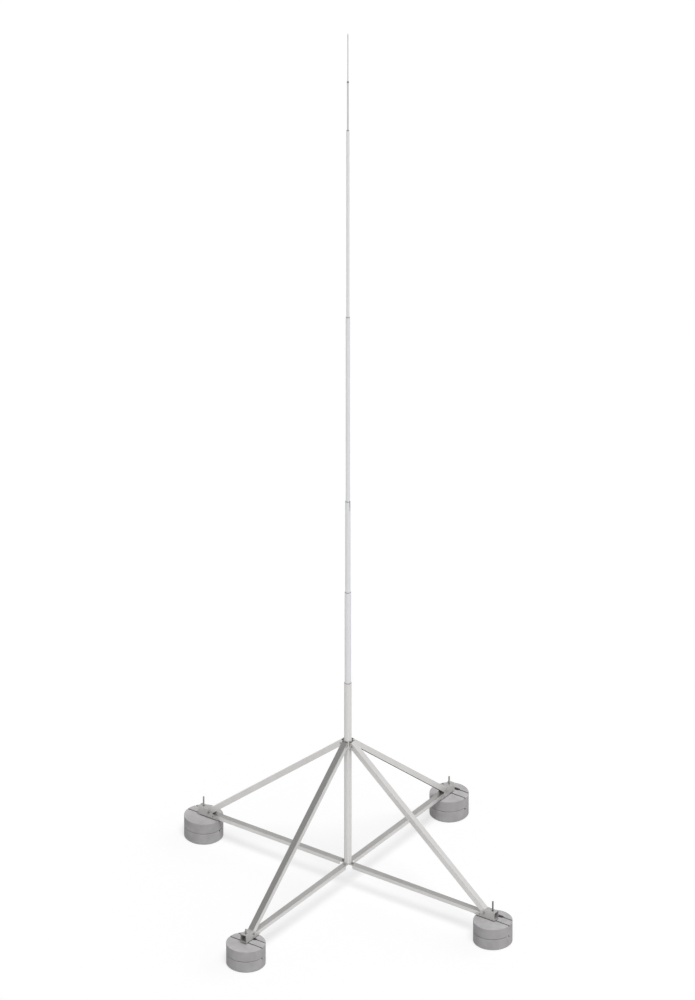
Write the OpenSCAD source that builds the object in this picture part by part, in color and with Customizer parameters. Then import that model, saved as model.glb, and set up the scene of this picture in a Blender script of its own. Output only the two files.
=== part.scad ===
// Free-standing telescopic lightning protection mast.
//
// Seven tubes and rods plug into each other to form the mast. It stands in a
// four-legged stand of channels, and each leg ends in a saddle that a
// threaded rod clamps to a stack of two round concrete blocks.
//
// Units are millimetres and +Z is up. The origin is at ground level on the
// mast's axis. The four legs run along +X (east), +Y (north), -X (west) and
// -Y (south), and side pieces are named after these directions.

/* [Mast] */
// Outer diameter of the lowest mast tube
tube1_d = 70; // [60:1:84]
// Outer diameter of the second mast tube
tube2_d = 60; // [55:1:62]
// Outer diameter of the third mast tube
tube3_d = 50; // [45:1:52]
// Outer diameter of the fourth mast tube
tube4_d = 40; // [36:1:42]
// Outer diameter of the fifth mast tube
tube5_d = 30; // [26:1:32]
// Diameter of the air-termination rod
rod_d = 16; // [12:1:19]
// Diameter of the slim tip at the very top
tip_d = 10; // [6:1:11]
// Wall thickness of every mast tube
tube_wall = 3; // [2:0.5:3.5]
// Length of the lowest tube
tube1_len = 1964; // [1500:1:2400]
// Length of the second tube that shows above the first
tube2_show = 986; // [700:1:1300]
// Length of the third tube that shows above the second
tube3_show = 987; // [700:1:1300]
// Length of the fourth tube that shows above the third
tube4_show = 1990; // [1500:1:2400]
// Length of the fifth tube that shows above the fourth
tube5_show = 2003; // [1500:1:2400]
// Length of the air-termination rod that shows
rod_show = 525; // [300:1:700]
// Length of the tip that shows
tip_show = 510; // [300:1:700]
// How far each tube plugs into the one below
plug_len = 300; // [150:1:400]
// How far the slim tip plugs into the air-termination rod
tip_plug_len = 40; // [20:1:80]
// Chamfer on the upper edge of each tube
tube_chamfer = 1.5; // [0:0.1:2]
// Width of the clamping slit in the third tube
slit_w = 7; // [3:0.5:10]
// Length of the clamping slit in the third tube
slit_len = 100; // [60:1:150]
// Direction that the clamping slit faces, in degrees from +X
slit_angle = -12; // [-180:1:180]

/* [Reducing bushes] */
// Length of a bush inside its tube
bush_len = 60; // [30:1:120]
// Height of the coned lip of a bush above its tube
bush_lip = 5; // [2:0.5:12]
// Wall thickness of the collar that joins rod and tip
collar_t = 1.5; // [1:0.5:6]
// Height of the collar that joins rod and tip
collar_h = 12; // [8:1:30]
// Height of the collar's cone
collar_cone_h = 5; // [2:0.5:12]
// Wall that is left at the thin end of a cone
cone_edge = 1; // [0.4:0.1:2]

/* [Stand] */
// Distance from the mast's axis to the middle of each foot
foot_r = 1660; // [1300:1:2100]
// Width of the arm and strut channels
channel_w = 59; // [46:1:70]
// Height of the arm channels
arm_h = 40; // [34:1:50]
// Depth of the strut channels, square to their length
strut_h = 52; // [40:1:60]
// Wall thickness of the channels
channel_t = 3; // [2:0.5:5]
// Outer radius along the edges of channels and saddles
edge_r = 1.5; // [1:0.1:3]
// Inner radius along these edges, which is also the gap beside what lies between two walls
inner_r = 0.5; // [0.3:0.1:3]
// Height above the ground at which the struts end
strut_top_z = 1616; // [1300:1:1900]
// Distance from the axis to a strut's outer top corner
strut_top_r = 57; // [50:1:90]
// Distance from the axis at which an arm's side flanges start
flange_start_r = 70; // [62:1:90]
// Corner radius at the start of an arm's side flanges
flange_corner_r = 14; // [4:1:24]
// Gap between the webs of neighbouring arms at the mast
arm_corner_gap = 2; // [1:0.5:6]

/* [Hubs] */
// Wall thickness of the upper hub's sleeve
sleeve_t = 6; // [4:0.5:10]
// Length of the upper hub's sleeve
sleeve_len = 78; // [60:1:150]
// Height of the sleeve above the ends of the struts
sleeve_rise = 5; // [2:1:60]
// Thickness of the upper hub's four fins
fin_t = 8; // [5:0.5:12]
// Distance from the axis to the tips of the fins
fin_r = 104; // [94:1:130]
// How far the fins stay below the ends of the struts
fin_drop = 3; // [0:0.5:8]
// How far the fins stay inside the open side of the struts
fin_inset = 8; // [4:1:16]
// Chamfer on both ends of the sleeve
sleeve_chamfer = 1; // [0:0.1:2]
// Distance from the sleeve to the bolts through the struts
strut_bolt_out = 24; // [16:1:32]
// Wall of the spacer around such a bolt
spacer_t = 4; // [2:0.5:6]
// Thickness of the cross plate under the arms
cross_t = 6; // [4:0.5:10]
// Distance from the axis to the ends of the cross plate
cross_r = 130; // [110:1:200]
// Corner radius at the ends of the cross plate
cross_corner_r = 8; // [2:1:16]
// Distance from the lowest tube to the bolts that hold the arms on the cross plate
arm_bolt_out = 19; // [16:1:24]
// Height of the spigot inside the lowest tube
spigot_h = 160; // [80:1:250]
// Wall thickness of the spigot
spigot_t = 4; // [3:0.5:8]

/* [Foot saddles] */
// Sheet thickness of a saddle
saddle_t = 3; // [2:0.5:5]
// Height of a saddle
saddle_h = 84; // [76:1:110]
// Height of a saddle's sides at its inner end
saddle_toe = 6; // [4:1:20]
// Length of a saddle outside its threaded rod
saddle_out = 42; // [34:1:60]
// Length of a saddle's cap inside its threaded rod
cap_in = 75; // [60:1:100]
// Length of a saddle's base inside its threaded rod
base_in = 190; // [160:1:230]
// Gap around the threaded rod in a saddle's cap
cap_hole_gap = 4; // [2:0.5:8]
// Gap between the end of an arm and the washer in its saddle
arm_stop = 6; // [2:1:20]
// How far a strut runs on under a saddle's cap
tongue_len = 18; // [6:1:30]
// Distance from the edge of a saddle's cap to its upper bolt
foot_bolt_in = 5; // [0:1:12]
// Gap between the upper bolt's hole and the arm
foot_bolt_gap = 2; // [1:1:10]
// Distance from a saddle's inner end to its lower bolt
arm_bolt_in = 62; // [40:1:80]

/* [Fasteners] */
// Diameter of the threaded rods
stud_d = 16; // [12:1:20]
// Width across flats of the nuts on the threaded rods
nut_af = 24; // [19:1:30]
// Height of a full nut
nut_h = 13; // [10:1:18]
// Height of the thin nut below a saddle
thin_nut_h = 10; // [8:1:14]
// Outer diameter of the washers
washer_d = 40; // [30:1:46]
// Thickness of the washers
washer_t = 3; // [2:0.5:4]
// Length of a threaded rod below its lowest nut
stud_end = 3; // [1:0.5:8]
// Chamfer on both ends of the threaded rods
stud_chamfer = 1.5; // [0:0.1:3]
// Height of the east threaded rod above its blocks
stud_rise_east = 200; // [120:1:260]
// Height of the north threaded rod above its blocks
stud_rise_north = 174; // [120:1:260]
// Height of the west threaded rod above its blocks
stud_rise_west = 195; // [120:1:260]
// Height of the south threaded rod above its blocks
stud_rise_south = 142; // [120:1:260]
// Diameter of the holes for the cross bolts
bolt_hole_d = 12.5; // [8:0.5:14]

/* [Ballast blocks] */
// Diameter of a concrete block
block_d = 370; // [320:1:450]
// Height of a concrete block
block_h = 113; // [90:1:140]
// Chamfer around a block's upper edge
block_chamfer = 3; // [2:0.5:10]
// Chamfer around a block's lower edge
block_foot_chamfer = 7; // [2:0.5:12]
// Width of the grooves across the top of a block
groove_w = 13; // [6:1:20]
// Depth of the grooves across the top of a block
groove_depth = 16; // [6:1:20]
// Distance of the side groove and its grip from the block's middle
grip_offset = 92; // [70:1:120]
// Length of the grip recess
grip_len = 116; // [80:1:130]
// Width of the grip recess
grip_w = 36; // [24:1:40]
// Depth of the grip recess
grip_depth = 40; // [25:1:60]
// Gap around the threaded rod in a block and in a saddle's base
block_hole_gap = 1; // [0.5:0.5:5]
// Gap around the washer in the recess under the lower block
recess_gap = 6; // [3:0.5:14]
// Gap between the threaded rod and the ground
ground_gap = 3; // [1:0.5:10]

/* [Fits] */
// Gap between a tube and what it plugs into, measured on the radius
plug_gap = 0.2; // [0.1:0.05:0.4]
// Gap where the end of one piece stops at another
end_gap = 0.4; // [0.2:0.1:0.8]

/* [Hidden] */
SIDES = ["east", "north", "west", "south"];

$fn = 96;

tube_d = [tube1_d, tube2_d, tube3_d, tube4_d, tube5_d];
show = [tube1_len, tube2_show, tube3_show, tube4_show, tube5_show, rod_show, tip_show];
stud_rise = [stud_rise_east, stud_rise_north, stud_rise_west, stud_rise_south];
cut = 1; // how far a cutting tool reaches past the face that it cuts

// Threaded rod and the holes that follow it
block_hole_d = stud_d + 2 * block_hole_gap;
cap_hole_d = stud_d + 2 * cap_hole_gap;
recess_d = washer_d + 2 * recess_gap;
low_nut_z = ground_gap + stud_end;
recess_depth = low_nut_z + nut_h + washer_t;

// Heights, from the ground up
stack_z = 2 * block_h;
saddle_z = stack_z + washer_t + thin_nut_h;
arm_z = saddle_z + saddle_t;
arm_top_z = arm_z + arm_h;
mast_z = arm_top_z - channel_t;
saddle_top_z = saddle_z + saddle_h;

// Top of mast piece i, where 0 is the lowest tube
function top_z(i) = i < 0 ? mast_z : top_z(i - 1) + show[i];
function tube_r(i) = tube_d[i] / 2;
function bore_r(i) = tube_r(i) - tube_wall;
// Radius of the piece that passes through the bush of tube i
function passing_r(i) = i < len(tube_d) - 1 ? tube_r(i + 1) : rod_d / 2;

// The struts' outer face is a straight line from the upper hub to the saddle's cap
cap_r = foot_r - cap_in;
strut_rise = strut_top_z - saddle_top_z;
strut_run = cap_r - strut_top_r;
strut_angle = atan(strut_rise / strut_run);
// Height of the line that lies a given depth under the outer face, at radius r
function strut_z(r, depth) = strut_top_z - (r - strut_top_r) * tan(strut_angle) - depth / cos(strut_angle);
// Radius at which that line reaches a given height
function strut_r(z, depth) = strut_top_r + (strut_top_z - depth / cos(strut_angle) - z) / tan(strut_angle);

sleeve_r = tube_r(0) + plug_gap + sleeve_t;
sleeve_top_z = strut_top_z + sleeve_rise;
strut_in_r = sleeve_r + end_gap;
strut_bolt_r = sleeve_r + strut_bolt_out;
strut_bolt_z = (strut_z(strut_bolt_r, 0) + strut_z(strut_bolt_r, strut_h)) / 2;

// Widths of the channels, of what lies in them and of what they lie in
channel_in_w = channel_w - 2 * channel_t;
inlay_w = channel_in_w - 2 * inner_r;
saddle_in_w = channel_w + 2 * inner_r;
saddle_w = saddle_in_w + 2 * saddle_t;

// The arms start beside their neighbours and stop at the washer in their saddle
arm_start_r = channel_w / 2 + arm_corner_gap;
arm_end_r = foot_r - washer_d / 2 - arm_stop;

// Cross bolts in a foot: one just above the arm, one through the arm's flanges
foot_bolt_r = cap_r - foot_bolt_in;
foot_bolt_z = arm_top_z + bolt_hole_d / 2 + foot_bolt_gap;
arm_bolt_r = foot_r - base_in + arm_bolt_in;
arm_bolt_z = arm_z + arm_h / 2;

// Bolts that hold the arms on the cross plate
hub_bolt_r = tube_r(0) + arm_bolt_out;

echo(overall_height = top_z(6));

// ---------- helpers ----------

// Places its children at the side with this index, turned outwards
module at_side(i) {
    rotate([0, 0, 90 * i]) children();
}

// Extrudes an outline drawn in radius and height, centred on its width
module side_profile(points, width) {
    rotate([90, 0, 0])
        translate([0, 0, -width / 2])
            linear_extrude(width) polygon(points);
}

// A cross hole through both flanges at a given radius and height
module cross_hole(r, z, width) {
    translate([r, 0, z])
        rotate([90, 0, 0])
            cylinder(h = width, d = bolt_hole_d, center = true, $fn = 48);
}

// A rectangle centred on X, from y = 0 up, with both upper corners rounded
module arch(width, height, r) {
    translate([-width / 2, 0]) square([width, height - r]);
    translate([-width / 2 + r, 0]) square([width - 2 * r, height]);
    for (x = [-1, 1])
        translate([x * (width / 2 - r), height - r]) circle(r = r, $fn = 48);
}

// The section of a channel, open downwards, with its web's outer face at y = 0
module channel_section(depth) {
    translate([0, -depth])
        difference() {
            arch(channel_w, depth, edge_r);
            translate([0, -cut]) arch(channel_in_w, depth - channel_t + cut, inner_r);
        }
}

// A rectangle centred on X, from y = 0 up, with all four corners rounded
module box_section(width, height, r) {
    translate([-width / 2, r]) square([width, height - 2 * r]);
    translate([-width / 2 + r, 0]) square([width - 2 * r, height]);
    for (x = [-1, 1])
        for (y = [r, height - r])
            translate([x * (width / 2 - r), y]) circle(r = r, $fn = 48);
}

// Extrudes a section, drawn across and up, outwards from one radius to another
module outwards(from_r, to_r) {
    translate([from_r, 0, 0])
        rotate([90, 0, 90])
            linear_extrude(to_r - from_r) children();
}

// ---------- mast ----------

// One mast tube: its upper outer edge is chamfered
module mast_tube(i) {
    foot = i == 0 ? mast_z : top_z(i - 1) - plug_len;
    length = top_z(i) - foot;
    color([0.84, 0.85, 0.84])
        translate([0, 0, foot])
            difference() {
                rotate_extrude()
                    polygon([
                        [bore_r(i), 0],
                        [tube_r(i), 0],
                        [tube_r(i), length - tube_chamfer],
                        [tube_r(i) - tube_chamfer, length],
                        [bore_r(i), length]
                    ]);
                if (i == 2) clamping_slit(length);
            }
}

// The slit that lets the third tube's mouth be clamped
module clamping_slit(length) {
    rotate([0, 0, slit_angle])
        translate([0, -slit_w / 2, length - slit_len])
            cube([tube_r(2) + cut, slit_w, slit_len + cut]);
}

// A turned bush that centres the next piece in the mouth of tube i
module bush(i) {
    mouth = top_z(i);
    hole_r = passing_r(i) + plug_gap;
    seat_r = tube_r(i) - tube_chamfer;
    color([0.45, 0.46, 0.46])
        rotate_extrude()
            polygon([
                [hole_r, mouth - bush_len],
                [bore_r(i) - plug_gap, mouth - bush_len],
                [bore_r(i) - plug_gap, mouth],
                [seat_r, mouth],
                [hole_r + cone_edge, mouth + bush_lip],
                [hole_r, mouth + bush_lip]
            ]);
}

// The solid rod above the tubes, drilled at its upper end for the tip
module air_rod() {
    color([0.84, 0.85, 0.84])
        translate([0, 0, top_z(4) - plug_len])
            difference() {
                cylinder(h = top_z(5) - top_z(4) + plug_len, d = rod_d);
                translate([0, 0, top_z(5) - top_z(4) + plug_len - tip_plug_len - plug_gap])
                    cylinder(h = tip_plug_len + cut, r = tip_d / 2 + plug_gap, $fn = 48);
            }
}

// The collar around the upper end of the rod, coned down to the tip
module tip_collar() {
    hole_r = rod_d / 2 + plug_gap;
    neck_r = tip_d / 2 + plug_gap;
    collar_r = hole_r + collar_t;
    top = top_z(5);
    color([0.45, 0.46, 0.46])
        rotate_extrude()
            polygon([
                [hole_r, top - collar_h],
                [collar_r, top - collar_h],
                [collar_r, top],
                [neck_r + cone_edge, top + collar_cone_h],
                [neck_r, top + collar_cone_h],
                [neck_r, top],
                [hole_r, top]
            ]);
}

// The slim tip with a rounded end
module air_tip() {
    top = top_z(6);
    r = tip_d / 2;
    color([0.84, 0.85, 0.84])
        union() {
            translate([0, 0, top_z(5) - tip_plug_len])
                cylinder(h = tip_show + tip_plug_len - r, r = r, $fn = 48);
            translate([0, 0, top - r]) sphere(r = r, $fn = 48);
        }
}

// ---------- hubs ----------

// The cross plate under the arms with the spigot that holds the lowest tube
module lower_hub() {
    spigot_r = bore_r(0) - plug_gap;
    color([0.62, 0.63, 0.62])
        difference() {
            union() {
                for (turn = [0, 90])
                    rotate([0, 0, turn])
                        translate([0, -inlay_w / 2, mast_z - cross_t])
                            linear_extrude(cross_t)
                                box_section(2 * cross_r, inlay_w, cross_corner_r);
                translate([0, 0, mast_z]) cylinder(h = spigot_h, r = spigot_r);
            }
            translate([0, 0, mast_z - cross_t - cut])
                cylinder(h = cross_t + spigot_h + 2 * cut, r = spigot_r - spigot_t);
            for (i = [0:3]) at_side(i) hub_bolt_hole();
        }
}

// Upright hole for the bolt between an arm and the cross plate
module hub_bolt_hole() {
    translate([hub_bolt_r, 0, mast_z - cross_t - cut])
        cylinder(h = cross_t + channel_t + 2 * cut, d = bolt_hole_d, $fn = 48);
}

// The sleeve around the lowest tube with a fin inside each strut
module upper_hub() {
    color([0.62, 0.63, 0.62])
        difference() {
            union() {
                translate([0, 0, sleeve_top_z - sleeve_len])
                    chamfered_rod(sleeve_r, sleeve_len, sleeve_chamfer);
                for (i = [0:3]) at_side(i) hub_fin();
            }
            translate([0, 0, sleeve_top_z - sleeve_len - cut])
                cylinder(h = sleeve_len + 2 * cut, r = tube_r(0) + plug_gap);
            for (i = [0:3]) at_side(i) cross_hole(strut_bolt_r, strut_bolt_z, channel_in_w);
        }
}

// One fin follows the strut's web and carries a spacer for the cross bolt
module hub_fin() {
    root_r = sleeve_r - sleeve_t / 2;
    web_depth = channel_t + end_gap;
    top = strut_top_z - fin_drop;
    low = sleeve_top_z - sleeve_len + 2 * sleeve_chamfer;
    side_profile([
        [root_r, top],
        [strut_r(top, web_depth), top],
        [fin_r, strut_z(fin_r, web_depth)],
        [fin_r, strut_z(fin_r, strut_h - fin_inset)],
        [root_r, low]
    ], fin_t);
    translate([strut_bolt_r, 0, strut_bolt_z])
        rotate([90, 0, 0])
            cylinder(h = inlay_w, d = bolt_hole_d + 2 * spacer_t, center = true, $fn = 48);
}

// An upright rod with both of its ends chamfered
module chamfered_rod(r, h, c) {
    rotate_extrude()
        polygon([[0, 0], [r - c, 0], [r, c], [r, h - c], [r - c, h], [0, h]]);
}

// ---------- stand ----------

// One arm: a channel with its web on top, whose web alone reaches the mast
module arm(i) {
    color([0.78, 0.79, 0.78])
        at_side(i)
            difference() {
                translate([0, 0, arm_top_z]) outwards(arm_start_r, arm_end_r) channel_section(arm_h);
                flange_cope();
                translate([0, 0, arm_z - cut])
                    cylinder(h = arm_h + 2 * cut, r = tube_r(0) + end_gap);
                hub_bolt_hole();
                cross_hole(arm_bolt_r, arm_bolt_z, channel_w + 2 * cut);
            }
}

// What is cut away from an arm's flanges next to the mast, with a round corner
module flange_cope() {
    width = channel_w + 2 * cut;
    translate([0, -width / 2, arm_z - cut])
        cube([flange_start_r, width, arm_h - channel_t + cut]);
    difference() {
        translate([flange_start_r - cut, -width / 2, arm_z - cut])
            cube([flange_corner_r + cut, width, flange_corner_r + cut]);
        translate([flange_start_r + flange_corner_r, 0, arm_z + flange_corner_r])
            rotate([90, 0, 0])
                cylinder(h = width + 2 * cut, r = flange_corner_r, center = true);
    }
}

// One strut: a channel with its web outside, cut level at both ends. It runs on
// under the saddle's cap and its flanges stand on the arm.
module strut(i) {
    web_end_r = cap_r - end_gap;
    end_r = cap_r + tongue_len;
    tongue_z = saddle_top_z - saddle_t - end_gap;
    color([0.8, 0.81, 0.8])
        at_side(i)
            difference() {
                intersection() {
                    translate([strut_top_r, 0, strut_top_z])
                        rotate([0, strut_angle, 0])
                            outwards(-strut_top_r, strut_run / cos(strut_angle) + cap_in)
                                channel_section(strut_h);
                    side_profile([
                        [strut_in_r, strut_top_z],
                        [strut_r(strut_top_z, -cut), strut_top_z],
                        [web_end_r, strut_z(web_end_r, -cut)],
                        [web_end_r, tongue_z],
                        [end_r, tongue_z],
                        [end_r, arm_top_z],
                        [strut_in_r, arm_top_z]
                    ], channel_w + 2 * cut);
                }
                cross_hole(strut_bolt_r, strut_bolt_z, channel_w + 2 * cut);
                cross_hole(foot_bolt_r, foot_bolt_z, channel_w + 2 * cut);
            }
}

// ---------- feet ----------

// One saddle: a box, open at both ends, that narrows towards the mast
module foot_saddle(i) {
    out_r = foot_r + saddle_out;
    in_r = foot_r - base_in;
    width = saddle_w + 2 * cut;
    color([0.72, 0.73, 0.72])
        at_side(i)
            difference() {
                translate([0, 0, saddle_z])
                    outwards(in_r, out_r)
                        difference() {
                            box_section(saddle_w, saddle_h, edge_r);
                            translate([0, saddle_t])
                                box_section(saddle_in_w, saddle_h - 2 * saddle_t, inner_r);
                        }
                side_profile([
                    [in_r - cut, saddle_z + saddle_toe],
                    [in_r, saddle_z + saddle_toe],
                    [cap_r, saddle_top_z],
                    [cap_r, saddle_top_z + cut],
                    [in_r - cut, saddle_top_z + cut]
                ], width);
                translate([in_r, -saddle_in_w / 2, arm_top_z])
                    cube([cap_r - in_r, saddle_in_w, saddle_h]);
                translate([foot_r, 0, saddle_z - cut])
                    cylinder(h = saddle_t + 2 * cut, d = block_hole_d);
                translate([foot_r, 0, saddle_top_z - saddle_t - cut])
                    cylinder(h = saddle_t + 2 * cut, d = cap_hole_d);
                cross_hole(foot_bolt_r, foot_bolt_z, width);
                cross_hole(arm_bolt_r, arm_bolt_z, width);
            }
}

// One threaded rod with its washers and nuts, from the lower block's recess up
module foot_stud(i) {
    stud_len = stack_z + stud_rise[i] - ground_gap;
    color([0.6, 0.6, 0.58])
        at_side(i)
            translate([foot_r, 0, 0]) {
                translate([0, 0, ground_gap]) chamfered_rod(stud_d / 2, stud_len, stud_chamfer);
                nut(low_nut_z, nut_h);
                washer(recess_depth - washer_t);
                washer(stack_z);
                nut(stack_z + washer_t, thin_nut_h);
                washer(arm_z);
                nut(arm_z + washer_t, nut_h);
            }
}

module nut(z, h) {
    translate([0, 0, z]) cylinder(h = h, d = nut_af / cos(30), $fn = 6);
}

module washer(z) {
    translate([0, 0, z]) cylinder(h = washer_t, d = washer_d);
}

// A block of the pair at side i. All blocks lie with their grooves along X.
module block(i, z, has_recess) {
    a = 90 * i;
    r = block_d / 2;
    c = block_chamfer;
    foot_c = block_foot_chamfer;
    color([0.6, 0.6, 0.6])
        translate([foot_r * cos(a), foot_r * sin(a), z])
            difference() {
                rotate_extrude($fn = 128)
                    polygon([
                        [0, 0], [r - foot_c, 0], [r, foot_c],
                        [r, block_h - c], [r - c, block_h], [0, block_h]
                    ]);
                block_groove(0);
                block_groove(grip_offset);
                grip_recess();
                translate([0, 0, -cut]) cylinder(h = block_h + 2 * cut, d = block_hole_d);
                if (has_recess)
                    translate([0, 0, -cut]) cylinder(h = recess_depth + cut, d = recess_d);
            }
}

// A straight groove across the top of a block, at a distance from its middle
module block_groove(offset_y) {
    translate([-block_d / 2 - cut, offset_y - groove_w / 2, block_h - groove_depth])
        cube([block_d + 2 * cut, groove_w, groove_depth + cut]);
}

// The round-ended recess where a hand lifts a block
module grip_recess() {
    reach = (grip_len - grip_w) / 2;
    translate([0, grip_offset, block_h - grip_depth]) {
        for (x = [-reach, reach])
            translate([x, 0, 0]) cylinder(h = grip_depth + cut, d = grip_w, $fn = 48);
        translate([-reach, -grip_w / 2, 0]) cube([2 * reach, grip_w, grip_depth + cut]);
    }
}

module upper_block(i) {
    block(i, block_h, false);
}

module lower_block(i) {
    block(i, 0, true);
}

// ---------- nodes ----------

lower_hub();
upper_hub();
for (i = [0:4]) {
    mast_tube(i);
    bush(i);
}
air_rod();
tip_collar();
air_tip();
for (i = [0:3]) {
    arm(i);
    strut(i);
    foot_saddle(i);
    foot_stud(i);
    upper_block(i);
    lower_block(i);
}
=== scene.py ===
"""Looks of the free-standing lightning protection mast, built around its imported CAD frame.

The CAD nodes keep their shape and get procedural materials. What CAD leaves out is made
here: threads, chamfered nuts, washers and the cross bolts of the stand.
"""

import math

import bpy
from mathutils import Matrix, Vector


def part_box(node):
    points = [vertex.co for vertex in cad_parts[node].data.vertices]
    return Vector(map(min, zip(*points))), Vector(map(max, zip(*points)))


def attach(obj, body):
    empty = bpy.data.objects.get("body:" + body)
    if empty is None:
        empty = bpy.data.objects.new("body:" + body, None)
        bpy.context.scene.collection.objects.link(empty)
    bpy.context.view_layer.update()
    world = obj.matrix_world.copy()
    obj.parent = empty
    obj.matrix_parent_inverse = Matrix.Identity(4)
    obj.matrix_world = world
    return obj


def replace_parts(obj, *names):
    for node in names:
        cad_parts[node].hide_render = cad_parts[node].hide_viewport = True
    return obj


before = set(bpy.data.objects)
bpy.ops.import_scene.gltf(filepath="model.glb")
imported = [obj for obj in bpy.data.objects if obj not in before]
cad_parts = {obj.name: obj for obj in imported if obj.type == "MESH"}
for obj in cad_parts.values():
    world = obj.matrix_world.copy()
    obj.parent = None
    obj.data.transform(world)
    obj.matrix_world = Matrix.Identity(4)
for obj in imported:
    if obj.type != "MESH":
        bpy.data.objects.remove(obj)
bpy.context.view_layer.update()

SIDES = ("east", "north", "west", "south")
BODY = "root"
MM = 0.001
X_AXIS, Y_AXIS, Z_AXIS = Vector((1, 0, 0)), Vector((0, 1, 0)), Vector((0, 0, 1))
UP = Z_AXIS

# ---------------------------------------------------------------------------
# Sizes of the stand, measured on the frame's east leg
# ---------------------------------------------------------------------------


def middle(node):
    low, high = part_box(node)
    return (Vector(low) + Vector(high)) / 2


def width(node):
    low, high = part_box(node)
    return high[1] - low[1]


def foot(node):
    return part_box(node)[0][2]


def top(node):
    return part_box(node)[1][2]


FOOT_R = middle("lower_block_east").x
BLOCK_R = width("lower_block_east") / 2
CHANNEL_WIDTH = width("arm_east")
SADDLE_WIDTH = width("foot_saddle_east")
SHEET = 3 * MM  # thickness of the profiles

# The struts' outer face is a straight line from the upper hub to the saddle's cap
STRUT_TOP_R = 57 * MM
STRUT_DEPTH = 52 * MM
CAP_R = FOOT_R - 75 * MM
STRUT_SLOPE = math.atan2(top("strut_east") - top("foot_saddle_east"), CAP_R - STRUT_TOP_R)


def side_turn(side):
    """Turns what is drawn on the east leg to another side."""
    return Matrix.Rotation(math.radians(90 * SIDES.index(side)), 4, "Z")


# ---------------------------------------------------------------------------
# View, stage and light
# ---------------------------------------------------------------------------

AZIMUTH = math.radians(35.1)
ELEVATION = math.radians(30.6)
FRAME_HEIGHT = 9.334  # metres from the picture's lower edge to its upper edge
VIEW_CENTRE = Vector((0, 0, 4.230))
VIEW_SHIFT = -0.0035  # metres that the picture's middle lies right of the mast's axis
LENS = 1190.0  # so long that the view is nearly parallel
SENSOR = 36.0
CLIP_START = 1.0
CLIP_END = 4  # distances from the camera to the object

FLOOR_RADIUS = 160.0
FLOOR_SIDES = 96
FLOOR_DROP = 0.0005  # keeps it off the blocks' undersides
FLOOR_BOUNCE = 0.33  # the floor's albedo for light that it sends back up
SHADOW_DEPTH = 0.35  # how much of the floor's shadow the camera sees

# Heights in the sky are on the unit sphere: 0 is the horizon, 1 is overhead
SKY_HORIZON = 1.0
SKY_ZENITH = 0.20
SKY_DARKENS = (0.30, 0.84)  # heights between which the sky darkens
SKY_LEFT = 0.60  # brightness of the sky's left end, against its right end
SKY_LEFT_DARKENS = (0.02, 0.20)  # heights between which the left end takes on that brightness
SOFTBOX_AIM = Vector((0.384, 0.704, 0.597))
SOFTBOX_GLOW = 0.62
SOFTBOX_EDGE = (0.90, 0.975)  # cosines of its outer and inner edge

KEY_AIM = Vector((0.302, -0.272, 0.914))
KEY_STRENGTH = 2.02
KEY_WIDTH = 25  # degrees that the lamp spans in the sky


def direction(azimuth, elevation):
    """The unit vector from the object towards a camera at these angles."""
    level = math.cos(elevation)
    return Vector((math.sin(azimuth) * level, -math.cos(azimuth) * level, math.sin(elevation)))


def add_camera():
    data = bpy.data.cameras.new("camera")
    data.lens = LENS
    data.sensor_width = SENSOR
    distance = FRAME_HEIGHT * LENS / SENSOR
    data.clip_start = CLIP_START
    data.clip_end = CLIP_END * distance
    camera = bpy.data.objects.new("camera", data)
    bpy.context.scene.collection.objects.link(camera)
    towards = direction(AZIMUTH, ELEVATION)
    right = UP.cross(towards).normalized()
    camera.location = VIEW_CENTRE + right * VIEW_SHIFT + towards * distance
    camera.rotation_euler = towards.to_track_quat("Z", "Y").to_euler()
    bpy.context.scene.camera = camera


def add_key_lamp():
    """A lamp that lights but doesn't glint: what metal mirrors is the studio around it."""
    data = bpy.data.lights.new("key", "SUN")
    data.energy = KEY_STRENGTH
    data.angle = math.radians(KEY_WIDTH)
    lamp = bpy.data.objects.new("key", data)
    lamp.rotation_euler = KEY_AIM.to_track_quat("Z", "Y").to_euler()
    lamp.visible_glossy = False
    bpy.context.scene.collection.objects.link(lamp)


# ---------------------------------------------------------------------------
# Node helpers
# ---------------------------------------------------------------------------


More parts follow.
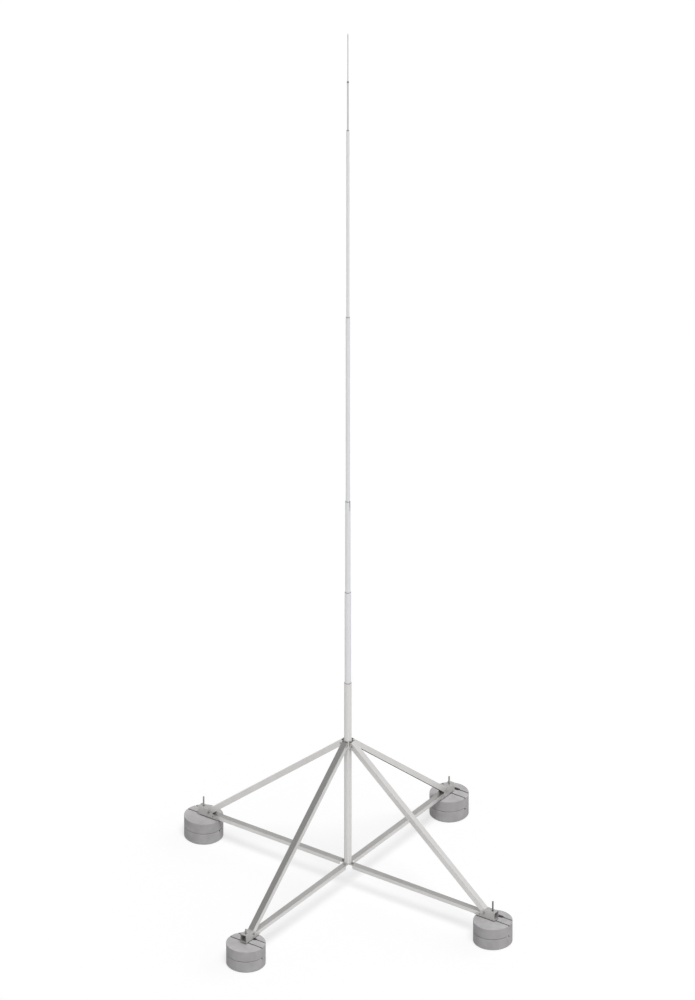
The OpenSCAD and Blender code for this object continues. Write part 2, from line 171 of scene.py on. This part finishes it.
class Graph:
    """A short way to write a shader node tree."""

    def __init__(self, tree):
        self.tree = tree
        tree.nodes.clear()

    def add(self, kind, inputs=None, **settings):
        made = self.tree.nodes.new(kind)
        for key, value in settings.items():
            setattr(made, key, value)
        for key, value in (inputs or {}).items():
            self.feed(made.inputs[key], value)
        return made

    def feed(self, socket, value):
        if isinstance(value, bpy.types.NodeSocket):
            self.tree.links.new(value, socket)
        else:
            socket.default_value = value

    def math(self, operation, a, b=0.0):
        return self.add("ShaderNodeMath", {0: a, 1: b}, operation=operation).outputs[0]

    def remap(self, value, from_min, from_max, to_min, to_max, smooth=False):
        made = self.add(
            "ShaderNodeMapRange",
            {"Value": value, "From Min": from_min, "From Max": from_max, "To Min": to_min, "To Max": to_max},
            interpolation_type="SMOOTHSTEP" if smooth else "LINEAR",
        )
        return made.outputs["Result"]

    def dot(self, vector, constant):
        made = self.add("ShaderNodeVectorMath", {0: vector, 1: tuple(constant)}, operation="DOT_PRODUCT")
        return made.outputs["Value"]

    def noise(self, vector, scale, detail=2.0, roughness=0.5):
        made = self.add(
            "ShaderNodeTexNoise",
            {"Vector": vector, "Scale": scale, "Detail": detail, "Roughness": roughness},
        )
        return made.outputs["Fac"]

    def blend(self, a, share_a, b, share_b):
        """The sum of two values, each times its share."""
        return self.math("ADD", self.math("MULTIPLY", a, share_a), self.math("MULTIPLY", b, share_b))

    def mix_colour(self, factor, a, b):
        made = self.add("ShaderNodeMix", data_type="RGBA")
        self.feed(made.inputs[0], factor)
        self.feed(made.inputs[6], a)
        self.feed(made.inputs[7], b)
        return made.outputs[2]

    def bump(self, height, strength, distance, normal=None):
        inputs = {"Height": height, "Strength": strength, "Distance": distance}
        if normal is not None:
            inputs["Normal"] = normal
        return self.add("ShaderNodeBump", inputs).outputs["Normal"]

    def object_place(self):
        return self.add("ShaderNodeTexCoord").outputs["Object"]

    def along(self, place, axes, scales):
        """Coordinates along three unit vectors, each stretched by its own scale."""
        parts = [self.math("MULTIPLY", self.dot(place, axis), scale) for axis, scale in zip(axes, scales)]
        return self.add("ShaderNodeCombineXYZ", {"X": parts[0], "Y": parts[1], "Z": parts[2]}).outputs[0]


def new_material(name):
    """A material and the graph that writes its nodes."""
    material = bpy.data.materials.new(name)
    material.use_nodes = True
    return material, Graph(material.node_tree)


def seen_directly(graph):
    """1 for camera, glossy and transmission rays, which all show the pale background."""
    path = graph.add("ShaderNodeLightPath").outputs
    either = graph.math("MAXIMUM", path["Is Camera Ray"], path["Is Glossy Ray"])
    return graph.math("MAXIMUM", either, path["Is Transmission Ray"])


def grey(value):
    return (value, value, value, 1.0)


def shade(colour, factor):
    return (*(factor * channel for channel in colour), 1.0)


# ---------------------------------------------------------------------------
# Stage
# ---------------------------------------------------------------------------


def set_world():
    """A studio, white up to the horizon, darker overhead and to the left, with one wide soft box."""
    world = bpy.data.worlds.new("studio")
    bpy.context.scene.world = world
    world.use_nodes = True
    graph = Graph(world.node_tree)
    aim = graph.add("ShaderNodeTexCoord").outputs["Generated"]
    height = graph.dot(aim, UP)
    sky = graph.remap(height, *SKY_DARKENS, SKY_HORIZON, SKY_ZENITH, smooth=True)
    rightwards = graph.dot(aim, UP.cross(direction(AZIMUTH, 0.0)))
    loss = graph.remap(rightwards, -1.0, 1.0, 1.0 - SKY_LEFT, 0.0)
    above_horizon = graph.remap(height, *SKY_LEFT_DARKENS, 0.0, 1.0, smooth=True)
    loss = graph.math("MULTIPLY", loss, above_horizon)
    sky = graph.math("MULTIPLY", sky, graph.math("SUBTRACT", 1.0, loss))
    facing = graph.dot(aim, SOFTBOX_AIM.normalized())
    box = graph.remap(facing, *SOFTBOX_EDGE, 0.0, SOFTBOX_GLOW, smooth=True)
    glow = graph.math("ADD", sky, box)
    background = graph.add("ShaderNodeBackground", {"Color": grey(1.0), "Strength": glow})
    graph.add("ShaderNodeOutputWorld", {"Surface": background.outputs[0]})


def floor_material():
    material, graph = new_material("floor")
    white = graph.add("ShaderNodeEmission", {"Color": grey(1.0), "Strength": 1.0})
    lit = graph.add("ShaderNodeBsdfDiffuse", {"Color": grey(1.0)})
    shown = graph.add("ShaderNodeMixShader", {0: SHADOW_DEPTH, 1: white.outputs[0], 2: lit.outputs[0]})
    bounce = graph.add("ShaderNodeBsdfDiffuse", {"Color": grey(FLOOR_BOUNCE)})
    either = graph.add(
        "ShaderNodeMixShader", {0: seen_directly(graph), 1: bounce.outputs[0], 2: shown.outputs[0]}
    )
    graph.add("ShaderNodeOutputMaterial", {"Surface": either.outputs[0]})
    return material


def add_floor():
    bpy.ops.mesh.primitive_circle_add(
        vertices=FLOOR_SIDES, radius=FLOOR_RADIUS, fill_type="NGON", location=(0, 0, -FLOOR_DROP)
    )
    floor = bpy.context.object
    floor.name = "floor"
    floor.data.materials.append(floor_material())


# ---------------------------------------------------------------------------
# Materials
# ---------------------------------------------------------------------------

NOISE_RANGE = (0.30, 0.70)  # nearly all of a noise lies between these values

METAL_SPECULAR = 0.25
LINE_SCALES = (4.0, 900.0, 900.0)  # noise scales a metre, along and across the drawn lines
SCUFF_SCALES = (25.0, 160.0, 160.0)
BLOTCH_SCALE = 5.0
LINE_SHARE = 0.35  # how much of the colour's change comes from the lines
BLOTCH_SHARE = 0.65
LINE_GLOSS = 0.4  # how much of the gloss's change comes from the lines
SCUFF_GLOSS = 0.6
LINE_RELIEF = (0.25, 0.00004)  # strength and depth in metres
SCUFF_RELIEF = (0.10, 0.0001)

INSIDE_PAINTED_SHADE = 0.40  # painted shade: brightness of the inner faces of a section's sides, against its outside
INSIDE_COVER = 0.85  # how much of the outside's colour that covers
INSIDE_BLEND = 0.4 * MM
CUT_SHADE = 0.75  # brightness of a cut face, against the sheet's surface
CUT_ROUGHER = 0.40
CUT_FACING = (0.2, 0.4)  # a face counts as cut when its normal runs this much along the section


def metal(
    name, base, dark, roughness, axes,
    streak=1.0, metallic=1.0, specular=METAL_SPECULAR, inside=None, cuts=False,
):
    """Satin metal: drawn lines along the first axis, faint blotches and a little relief.

    The inner faces of a section's sides are darkened as painted shade; the inside argument holds their
    centre, half width and height.
    Its cut ends and holes are matt where cuts is set.
    """
    material, graph = new_material(name)
    place = graph.object_place()
    lines = graph.noise(graph.along(place, axes, LINE_SCALES), 1.0, detail=4.0, roughness=0.6)
    scuffs = graph.noise(graph.along(place, axes, SCUFF_SCALES), 1.0, detail=3.0, roughness=0.55)
    blotch = graph.noise(place, BLOTCH_SCALE, detail=3.0, roughness=0.55)
    tone = graph.blend(lines, LINE_SHARE * streak, blotch, BLOTCH_SHARE)
    tone = graph.remap(tone, *NOISE_RANGE, 0.0, 1.0)
    colour = graph.mix_colour(tone, (*dark, 1.0), (*base, 1.0))
    # painted shade on the inner faces of the section's sides
    if inside:
        inside_shade_amount = graph.math("MULTIPLY", inside_shade_mask(graph, place, axes, inside), INSIDE_COVER)
        colour = graph.mix_colour(inside_shade_amount, colour, shade(dark, INSIDE_PAINTED_SHADE))
    gloss = graph.blend(scuffs, SCUFF_GLOSS, lines, LINE_GLOSS)
    gloss = graph.remap(gloss, *NOISE_RANGE, *roughness)
    if cuts:
        normal = graph.add("ShaderNodeNewGeometry").outputs["True Normal"]
        lengthwise = graph.math("ABSOLUTE", graph.dot(normal, axes[0]))
        cut = graph.remap(lengthwise, *CUT_FACING, 0.0, 1.0)
        colour = graph.mix_colour(cut, colour, shade(dark, CUT_SHADE))
        gloss = graph.math("ADD", gloss, graph.math("MULTIPLY", cut, CUT_ROUGHER))
    line_strength, line_depth = LINE_RELIEF
    relief = graph.bump(lines, line_strength * streak, line_depth)
    relief = graph.bump(scuffs, *SCUFF_RELIEF, relief)
    shader = graph.add(
        "ShaderNodeBsdfPrincipled",
        {
            "Base Color": colour,
            "Metallic": metallic,
            "Roughness": gloss,
            "Specular IOR Level": specular,
            "Normal": relief,
        },
    )
    graph.add("ShaderNodeOutputMaterial", {"Surface": shader.outputs[0]})
    return material


def inside_shade_mask(graph, place, axes, inside):
    """1 on the inner faces of a section's sides, where painted shade goes, found from the places across it
    and under its web.
    """
    centre, half_width, under = inside
    from_centre = graph.math("SUBTRACT", graph.dot(place, axes[1]), centre.dot(axes[1]))
    across = graph.math("ABSOLUTE", from_centre)
    height = graph.math("SUBTRACT", graph.dot(place, axes[2]), centre.dot(axes[2]))
    between = graph.remap(across, half_width, half_width + INSIDE_BLEND, 1.0, 0.0)
    below = graph.remap(height, under - 4 * INSIDE_BLEND, under - INSIDE_BLEND, 1.0, 0.0)
    return graph.math("MULTIPLY", between, below)


CLOUD_SCALE = 9.0
CLOUD_SHARE = 0.72  # how much of the concrete's tone comes from the cement's clouds
SAND_SCALE = 620.0
SAND_SHARE = 0.28
PORE_SCALE = 70.0
PORE_RADII = (0.07, 0.13)  # a pore is dark up to the first and ends at the second, in cells
PORE_PATCH_SCALE = 38.0
PORE_PATCHES = (0.50, 0.58)  # noise values where pores begin and where all of them show
CLOUD_ROUGHNESS = (0.72, 0.90)
CONCRETE_SPECULAR = 0.3
GROOVE_DEPTH = 1.5 * MM  # what lies deeper is inside a groove of the block
GRIP_DEPTH = 18 * MM  # what lies deeper is inside the block's grip recess
HOLLOW_BLEND = 2 * MM
CEMENT_RANGE = (0.33, 0.67)  # nearly all of clouds and sand together lies between these values
CEMENT_SPAN = (0.88, 1.12)  # darkest and lightest concrete
PORE_COVER = 0.75
# the grooves' and the grip recess's darker tones are painted shade
PORE_SHADE, GROOVE_PAINTED_SHADE, GRIP_PAINTED_SHADE = 0.30, 0.45, 0.15
SAND_HEIGHT = 0.35  # of a pore's depth
CEMENT_RELIEF = (0.6, 0.0007)


def hollow_shade_mask(graph, place, block_top, depth):
    """1 on the walls of what is cut into a block's top, deeper than this, where painted shade goes; all
    blocks share it.
    """
    parts = graph.add("ShaderNodeSeparateXYZ", {"Vector": place}).outputs
    x, y = (graph.math("ABSOLUTE", parts[axis]) for axis in ("X", "Y"))
    distances = []
    for along, across in ((x, y), (y, x)):
        out = graph.math("POWER", graph.math("SUBTRACT", along, FOOT_R), 2.0)
        distances.append(graph.math("SQRT", graph.math("ADD", out, graph.math("POWER", across, 2.0))))
    distance = graph.math("MINIMUM", *distances)
    within = graph.remap(distance, BLOCK_R - HOLLOW_BLEND, BLOCK_R - HOLLOW_BLEND / 2, 1.0, 0.0)
    start = block_top - depth
    below = graph.remap(parts["Z"], start - HOLLOW_BLEND, start, 1.0, 0.0)
    return graph.math("MULTIPLY", within, below)


def concrete(name, base, block_top):
    """Smooth cast concrete: cement clouds, fine sand, small pores and painted shade in the grooves and grip
    recess.
    """
    material, graph = new_material(name)
    place = graph.object_place()
    clouds = graph.noise(place, CLOUD_SCALE, detail=5.0, roughness=0.55)
    sand = graph.noise(place, SAND_SCALE, detail=3.0, roughness=0.6)
    pore_cells = graph.add(
        "ShaderNodeTexVoronoi", {"Vector": place, "Scale": PORE_SCALE, "Randomness": 1.0}, feature="F1"
    )
    pores = graph.remap(pore_cells.outputs["Distance"], *PORE_RADII, 1.0, 0.0)
    sparse = graph.remap(graph.noise(place, PORE_PATCH_SCALE), *PORE_PATCHES, 0.0, 1.0)
    pores = graph.math("MULTIPLY", pores, sparse)
    tone = graph.blend(clouds, CLOUD_SHARE, sand, SAND_SHARE)
    tone = graph.remap(tone, *CEMENT_RANGE, 0.0, 1.0)
    colour = graph.mix_colour(tone, *(shade(base, factor) for factor in CEMENT_SPAN))
    colour = graph.mix_colour(graph.math("MULTIPLY", pores, PORE_COVER), colour, shade(base, PORE_SHADE))
    # painted shade in the grooves and the deeper grip recess
    groove = hollow_shade_mask(graph, place, block_top, GROOVE_DEPTH)
    colour = graph.mix_colour(groove, colour, shade(base, GROOVE_PAINTED_SHADE))
    grip = hollow_shade_mask(graph, place, block_top, GRIP_DEPTH)
    colour = graph.mix_colour(grip, colour, shade(base, GRIP_PAINTED_SHADE))
    height = graph.math("SUBTRACT", graph.math("MULTIPLY", sand, SAND_HEIGHT), pores)
    relief = graph.bump(height, *CEMENT_RELIEF)
    shader = graph.add(
        "ShaderNodeBsdfPrincipled",
        {
            "Base Color": colour,
            "Roughness": graph.remap(clouds, *NOISE_RANGE, *CLOUD_ROUGHNESS),
            "Specular IOR Level": CONCRETE_SPECULAR,
            "Normal": relief,
        },
    )
    graph.add("ShaderNodeOutputMaterial", {"Surface": shader.outputs[0]})
    return material


RING_SCALES = (6.0, 6.0, 1800.0)
GRAIN_SCALE = 900.0
POLYMER_SPAN = (0.8, 1.2)  # darkest and lightest plastic
POLYMER_ROUGHNESS = (0.42, 0.60)
RING_RELIEF = (0.3, 0.0001)


def dark_polymer(name, base):
    """Dark grey turned plastic with fine turning rings."""
    material, graph = new_material(name)
    place = graph.object_place()
    stretched = graph.along(place, (X_AXIS, Y_AXIS, Z_AXIS), RING_SCALES)
    rings = graph.noise(stretched, 1.0, detail=3.0, roughness=0.6)
    grain = graph.remap(graph.noise(place, GRAIN_SCALE), *NOISE_RANGE, 0.0, 1.0)
    colour = graph.mix_colour(grain, *(shade(base, factor) for factor in POLYMER_SPAN))
    shader = graph.add(
        "ShaderNodeBsdfPrincipled",
        {
            "Base Color": colour,
            "Roughness": graph.remap(rings, *NOISE_RANGE, *POLYMER_ROUGHNESS),
            "Normal": graph.bump(rings, *RING_RELIEF),
        },
    )
    graph.add("ShaderNodeOutputMaterial", {"Surface": shader.outputs[0]})
    return material


def coat(node, material):
    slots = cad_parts[node].data.materials
    if not slots:
        slots.append(material)
    for index in range(len(slots)):
        slots[index] = material


def arm_axes(side):
    """Unit vectors along, across and square to the arm on a side."""
    turn = side_turn(side).to_3x3()
    return turn @ X_AXIS, turn @ Y_AXIS, Z_AXIS


def strut_axes(side):
    turn = side_turn(side).to_3x3()
    along = turn @ Vector((math.cos(STRUT_SLOPE), 0, -math.sin(STRUT_SLOPE)))
    across = turn @ Y_AXIS
    return along, across, along.cross(across)


UPRIGHT = (Z_AXIS, X_AXIS, Y_AXIS)

# Each metal's tone runs between its base and its dark, and its roughness between two values
MAST_BASE = (0.895, 0.900, 0.920)
MAST_DARK = (0.860, 0.865, 0.885)
MAST_ROUGHNESS = (0.24, 0.38)
MAST_METALLIC = 0.20  # an anodised skin scatters part of the light
MAST_SPECULAR = 0.0  # a second gloss would whiten the tubes' edges
ROD_BASE = (0.74, 0.74, 0.75)
ROD_DARK = (0.66, 0.66, 0.67)
FOOT_TUBE_BASE = (0.855, 0.850, 0.834)
FOOT_TUBE_DARK = (0.820, 0.815, 0.799)
STAND_BASE = (0.665, 0.658, 0.648)
STAND_DARK = (0.600, 0.592, 0.580)
STAND_METALLIC = 0.80
PROFILE_ROUGHNESS = (0.32, 0.37)
HUB_ROUGHNESS = (0.30, 0.44)
STAND_PAINTED_SIDE_LIGHT = {"east": 1.00, "north": 1.035, "west": 0.985, "south": 1.04}  # painted light and shade: brightness of each side's profiles
SADDLE_BASE = (0.615, 0.607, 0.595)
SADDLE_DARK = (0.550, 0.542, 0.530)
SADDLE_METALLIC = 0.45
SADDLE_ROUGHNESS = (0.34, 0.50)
FASTENER_ROUGHNESS = (0.30, 0.45)
FASTENER_STREAK = 0.4
STUD_BASE = (0.66, 0.66, 0.65)
STUD_DARK = (0.52, 0.52, 0.51)
# painted shade: the east threaded rod is darker
STUD_PAINTED_SIDE_SHADE = {"east": 0.62, "north": 1.0, "west": 1.0, "south": 1.0}
BOLT_BASE = (0.60, 0.59, 0.58)
BOLT_DARK = (0.48, 0.47, 0.46)
# painted shade: the bolts on the east and west sides are darker
BOLT_PAINTED_SIDE_SHADE = {"east": 0.72, "north": 1.0, "west": 0.68, "south": 1.0}
BOLT_METALLIC = 0.6
CONCRETE_BASE = (0.471, 0.460, 0.465)
BUSH_BASE = (0.22, 0.22, 0.22)


def side_shaded_colours(base, dark, tone):
    """A metal's two colours, lighter or darker by one side's painted light and shade."""
    return shade(base, tone)[:3], shade(dark, tone)[:3]


def paint_cad():
    mast, foot_tube, rod = (
        metal(
            name, base, dark, MAST_ROUGHNESS, UPRIGHT,
            metallic=MAST_METALLIC, specular=MAST_SPECULAR,
        )
        for name, base, dark in (
            ("mast_aluminium", MAST_BASE, MAST_DARK),
            ("foot_tube_metal", FOOT_TUBE_BASE, FOOT_TUBE_DARK),
            ("rod_aluminium", ROD_BASE, ROD_DARK),
        )
    )
    coat("mast_tube_1", foot_tube)
    for number in range(2, 6):
        coat(f"mast_tube_{number}", mast)
    coat("air_rod", rod)
    coat("air_tip", rod)
    bush = dark_polymer("bush_polymer", BUSH_BASE)
    for number in range(1, 6):
        coat(f"bush_{number}", bush)
    coat("tip_collar", bush)
    hub = metal("hub_steel", STAND_BASE, STAND_DARK, HUB_ROUGHNESS, UPRIGHT, metallic=STAND_METALLIC)
    coat("upper_hub", hub)
    coat("lower_hub", hub)
    upper_cast = concrete("upper_concrete", CONCRETE_BASE, top("upper_block_east"))
    lower_cast = concrete("lower_concrete", CONCRETE_BASE, top("lower_block_east"))
    arm_web = Vector((0, 0, top("arm_east")))
    for side in SIDES:
        # painted light and shade for this side's arm and strut
        base, dark = side_shaded_colours(STAND_BASE, STAND_DARK, STAND_PAINTED_SIDE_LIGHT[side])
        strut_web = side_turn(side) @ Vector((STRUT_TOP_R, 0, top("strut_east")))
        profiles = (("arm", arm_axes(side), arm_web), ("strut", strut_axes(side), strut_web))
        for part, axes, web in profiles:
            # each profile's channel gets painted shade on its inner faces
            steel = metal(
                f"{part}_steel_{side}", base, dark, PROFILE_ROUGHNESS, axes, metallic=STAND_METALLIC,
                inside=(web, CHANNEL_WIDTH / 2 - SHEET, -SHEET), cuts=True,
            )
            coat(f"{part}_{side}", steel)
        saddle = metal(
            f"saddle_steel_{side}", SADDLE_BASE, SADDLE_DARK, SADDLE_ROUGHNESS, arm_axes(side),
            metallic=SADDLE_METALLIC, cuts=True,
        )
        coat(f"foot_saddle_{side}", saddle)
        coat(f"upper_block_{side}", upper_cast)
        coat(f"lower_block_{side}", lower_cast)


# ---------------------------------------------------------------------------
# Meshes of fasteners
# ---------------------------------------------------------------------------

TURN = 2 * math.pi
CHAMFER_START = 0.97  # where a nut's chamfer starts, against half its width across flats
CHAMFER_SLOPE = math.radians(30)
THREAD_DEPTH = 0.61  # of its pitch
THREAD_FLANK = 2.4  # steepness of its flanks, which leave its root a little flat
THREAD_END = 1.5  # pitches over which the thread's ends are turned down
SMOOTH_ANGLE = math.radians(35)  # sharper edges than this stay sharp


class Shape:
    """Collects rings of points and the faces between them."""

    def __init__(self):
        self.points = []
        self.faces = []

    def ring(self, points):
        start = len(self.points)
        self.points.extend(points)
        return list(range(start, start + len(points)))

    def band(self, low, high):
        count = len(low)
        for i in range(count):
            j = (i + 1) % count
            self.faces.append((low[i], low[j], high[j], high[i]))

    def cap(self, ring, upwards):
        self.faces.append(tuple(ring) if upwards else tuple(reversed(ring)))

    def lathe(self, profile, count=32):
        """A closed solid of revolution from (radius, height) points, from its foot to its top."""
        rings = []
        for radius, z in profile:
            angles = [TURN * i / count for i in range(count)]
            rings.append(self.ring([(radius * math.cos(a), radius * math.sin(a), z) for a in angles]))
        for low, high in zip(rings, rings[1:]):
            self.band(low, high)
        self.cap(rings[0], False)
        self.cap(rings[-1], True)

    def hexagon(self, z, height, across, chamfer_foot, chamfer_top, count=48):
        """A hexagonal nut or head with the round chamfer that real ones have."""
        flat = across / 2
        round_r = flat * CHAMFER_START
        slope = math.tan(CHAMFER_SLOPE)
        foot_edge, foot_rim, top_edge, top_rim = [], [], [], []
        for i in range(count):
            angle = TURN * i / count
            sector = (angle + math.pi / 6) % (math.pi / 3) - math.pi / 6
            radius = flat / math.cos(sector)
            drop = max(0.0, radius - round_r) * slope
            x, y = math.cos(angle), math.sin(angle)
            foot_edge.append((radius * x, radius * y, z + (drop if chamfer_foot else 0.0)))
            top_edge.append((radius * x, radius * y, z + height - (drop if chamfer_top else 0.0)))
            foot_rim.append((round_r * x, round_r * y, z))
            top_rim.append((round_r * x, round_r * y, z + height))
        rings = [self.ring(points) for points in (foot_rim, foot_edge, top_edge, top_rim)]
        for low, high in zip(rings, rings[1:]):
            self.band(low, high)
        self.cap(rings[0], False)
        self.cap(rings[-1], True)

    def thread(self, z0, z1, radius, pitch, count=28, steps=6):
        """A helical thread between two heights, with its ends turned down."""
        depth = THREAD_DEPTH * pitch
        rows = int((z1 - z0) / pitch * steps)
        rings = []
        for row in range(rows + 1):
            z = z0 + (z1 - z0) * row / rows
            end = min(1.0, min(z - z0, z1 - z) / (THREAD_END * pitch))
            points = []
            for i in range(count):
                angle = TURN * i / count
                phase = (z / pitch - i / count) % 1.0
                groove = min(1.0, THREAD_FLANK * abs(phase - 0.5))
                r = radius - depth * max(groove, 1.0 - end)
                points.append((r * math.cos(angle), r * math.sin(angle), z))
            rings.append(self.ring(points))
        for low, high in zip(rings, rings[1:]):
            self.band(low, high)
        self.cap(rings[0], False)
        self.cap(rings[-1], True)

    def piece(self, name, place, material, slot_name):
        mesh = bpy.data.meshes.new(name)
        mesh.from_pydata(self.points, [], self.faces)
        mesh.transform(place)
        mesh.validate()
        mesh.update()
        mesh.materials.append(material)
        made = bpy.data.objects.new(name, mesh)
        bpy.context.scene.collection.objects.link(made)
        mesh.shade_smooth()
        mesh.set_sharp_from_angle(angle=SMOOTH_ANGLE)
        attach(made, BODY)
        return made


# ---------------------------------------------------------------------------
# Threaded rods at the feet
# ---------------------------------------------------------------------------

STUD_RADIUS = 8 * MM
STUD_PITCH = 2 * MM
STUD_BELOW_NUT = 3 * MM  # the rod's end under its lowest nut
NUT_ACROSS = 24 * MM
NUT_HEIGHT = 13 * MM
THIN_NUT_HEIGHT = 10 * MM
WASHER_RADIUS = 20 * MM
WASHER_HEIGHT = 3 * MM
WASHER_EDGE = 0.4 * MM


def washer(shape, z, radius=WASHER_RADIUS, height=WASHER_HEIGHT):
    edge = WASHER_EDGE
    half = [(radius - edge, z), (radius, z + edge)]
    shape.lathe(half + [(radius, z + height - edge), (radius - edge, z + height)])


def fastener_steel(name, base, dark, painted_side_shades, metallic=1.0):
    """One material a side, each darker or not by that side's painted shade."""
    return {
        side: metal(
            f"{name}_{side}", *side_shaded_colours(base, dark, painted_side_shades[side]), FASTENER_ROUGHNESS, UPRIGHT,
            streak=FASTENER_STREAK, metallic=metallic,
        )
        for side in SIDES
    }


def make_studs(steel):
    """Each rod of the CAD frame gets its thread and nuts with real chamfers."""
    block_top = top("upper_block_east")
    saddle_base = foot("arm_east")
    for side in SIDES:
        stud = f"foot_stud_{side}"
        low_nut = foot(stud) + STUD_BELOW_NUT
        shape = Shape()
        shape.thread(foot(stud), top(stud), STUD_RADIUS, STUD_PITCH)
        shape.hexagon(low_nut, NUT_HEIGHT, NUT_ACROSS, True, True)
        washer(shape, low_nut + NUT_HEIGHT)
        washer(shape, block_top)
        shape.hexagon(block_top + WASHER_HEIGHT, THIN_NUT_HEIGHT, NUT_ACROSS, True, True)
        washer(shape, saddle_base)
        shape.hexagon(saddle_base + WASHER_HEIGHT, NUT_HEIGHT, NUT_ACROSS, True, True)
        place = side_turn(side) @ Matrix.Translation((FOOT_R, 0, 0))
        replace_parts(shape.piece(f"threaded_rod_{side}", place, steel[side], "stud"), stud)


# ---------------------------------------------------------------------------
# Bolts of the stand
# ---------------------------------------------------------------------------

BOLT_RADIUS = 6 * MM
BOLT_ACROSS = 18 * MM
BOLT_HEAD = 7.5 * MM
BOLT_NUT = 10 * MM
BOLT_WASHER_RADIUS = 12 * MM
BOLT_WASHER_HEIGHT = 2.5 * MM
BOLT_END = 4 * MM
BOLT_CHAMFER = 1 * MM
BOLT_SIDES = 24
PIN_HEAD_RADIUS = 9 * MM
PIN_HEAD = 3.5 * MM
PIN_RIM = 0.5 * MM
PIN_DOME = math.radians(82.8)  # how far up its quarter turn the head's dome goes
PIN_STEPS = 6


def bolt_shape(grip):
    """A bolt along +Z whose grip of this length starts at the origin."""
    shape = Shape()
    washer(shape, -BOLT_WASHER_HEIGHT, BOLT_WASHER_RADIUS, BOLT_WASHER_HEIGHT)
    shape.hexagon(-BOLT_WASHER_HEIGHT - BOLT_HEAD, BOLT_HEAD, BOLT_ACROSS, True, False)
    shape.lathe([(BOLT_RADIUS, -BOLT_WASHER_HEIGHT), (BOLT_RADIUS, grip)], BOLT_SIDES)
    washer(shape, grip, BOLT_WASHER_RADIUS, BOLT_WASHER_HEIGHT)
    nut_foot = grip + BOLT_WASHER_HEIGHT
    nut_top = nut_foot + BOLT_NUT
    shape.hexagon(nut_foot, BOLT_NUT, BOLT_ACROSS, True, True)
    end = nut_top + BOLT_END
    point = [(BOLT_RADIUS, end - BOLT_CHAMFER), (BOLT_RADIUS - BOLT_CHAMFER, end)]
    shape.lathe([(BOLT_RADIUS, nut_top - MM), *point], BOLT_SIDES)
    return shape


def pin_shape(grip):
    """A pin along +Z with a low domed head at both ends of its grip."""
    shape = Shape()
    head = [(PIN_HEAD_RADIUS, 0.0), (PIN_HEAD_RADIUS, PIN_RIM)]
    for step in range(1, PIN_STEPS + 1):
        angle = PIN_DOME * step / PIN_STEPS
        height = PIN_RIM + (PIN_HEAD - PIN_RIM) * math.sin(angle)
        head.append((PIN_HEAD_RADIUS * math.cos(angle), height))
    shape.lathe([(radius, -z) for radius, z in reversed(head)])
    shape.lathe([(BOLT_RADIUS, 0.0), (BOLT_RADIUS, grip)], BOLT_SIDES)
    shape.lathe([(radius, grip + z) for radius, z in head])
    return shape


def across_leg(side, radius, z, grip):
    """Lays a shape that starts at the origin and runs along +Z level across a leg."""
    lay = Matrix.Rotation(math.radians(-90), 4, "X")
    return side_turn(side) @ Matrix.Translation((radius, -grip / 2, z)) @ lay


# Places of the bolts, like the holes in the CAD
FOOT_BOLT_IN = 80 * MM  # from the threaded rod towards the mast
FOOT_BOLT_UP = 8.25 * MM  # above the arm
ARM_BOLT_IN = 128 * MM  # from the threaded rod towards the mast
TOP_BOLT_R = 65.2 * MM
HUB_BOLT_R = 54 * MM


def make_bolts(steel):
    arm_top, arm_foot = top("arm_east"), foot("arm_east")
    hub_grip = arm_top - foot("lower_hub")
    strut_middle = STRUT_DEPTH / 2 / math.cos(STRUT_SLOPE)
    top_bolt_z = top("strut_east") - (TOP_BOLT_R - STRUT_TOP_R) * math.tan(STRUT_SLOPE) - strut_middle
    level = {
        "strut_foot_bolt": (bolt_shape, FOOT_R - FOOT_BOLT_IN, arm_top + FOOT_BOLT_UP, SADDLE_WIDTH),
        "arm_foot_pin": (pin_shape, FOOT_R - ARM_BOLT_IN, (arm_foot + arm_top) / 2, SADDLE_WIDTH),
        "strut_top_pin": (pin_shape, TOP_BOLT_R, top_bolt_z, CHANNEL_WIDTH),
    }
    for side in SIDES:
        for name, (shape_of, radius, z, grip) in level.items():
            place = across_leg(side, radius, z, grip)
            shape_of(grip).piece(f"{name}_{side}", place, steel[side], "stud")
        flip = Matrix.Rotation(math.radians(180), 4, "X")
        place = side_turn(side) @ Matrix.Translation((HUB_BOLT_R, 0, arm_top)) @ flip
        bolt_shape(hub_grip).piece(f"hub_bolt_{side}", place, steel[side], "stud")


# ---------------------------------------------------------------------------
# The whole scene
# ---------------------------------------------------------------------------

bpy.context.scene.view_settings.view_transform = "Standard"
add_camera()
set_world()
add_floor()
add_key_lamp()
paint_cad()
make_studs(fastener_steel("stud_steel", STUD_BASE, STUD_DARK, STUD_PAINTED_SIDE_SHADE))
make_bolts(fastener_steel("bolt_steel", BOLT_BASE, BOLT_DARK, BOLT_PAINTED_SIDE_SHADE, BOLT_METALLIC))
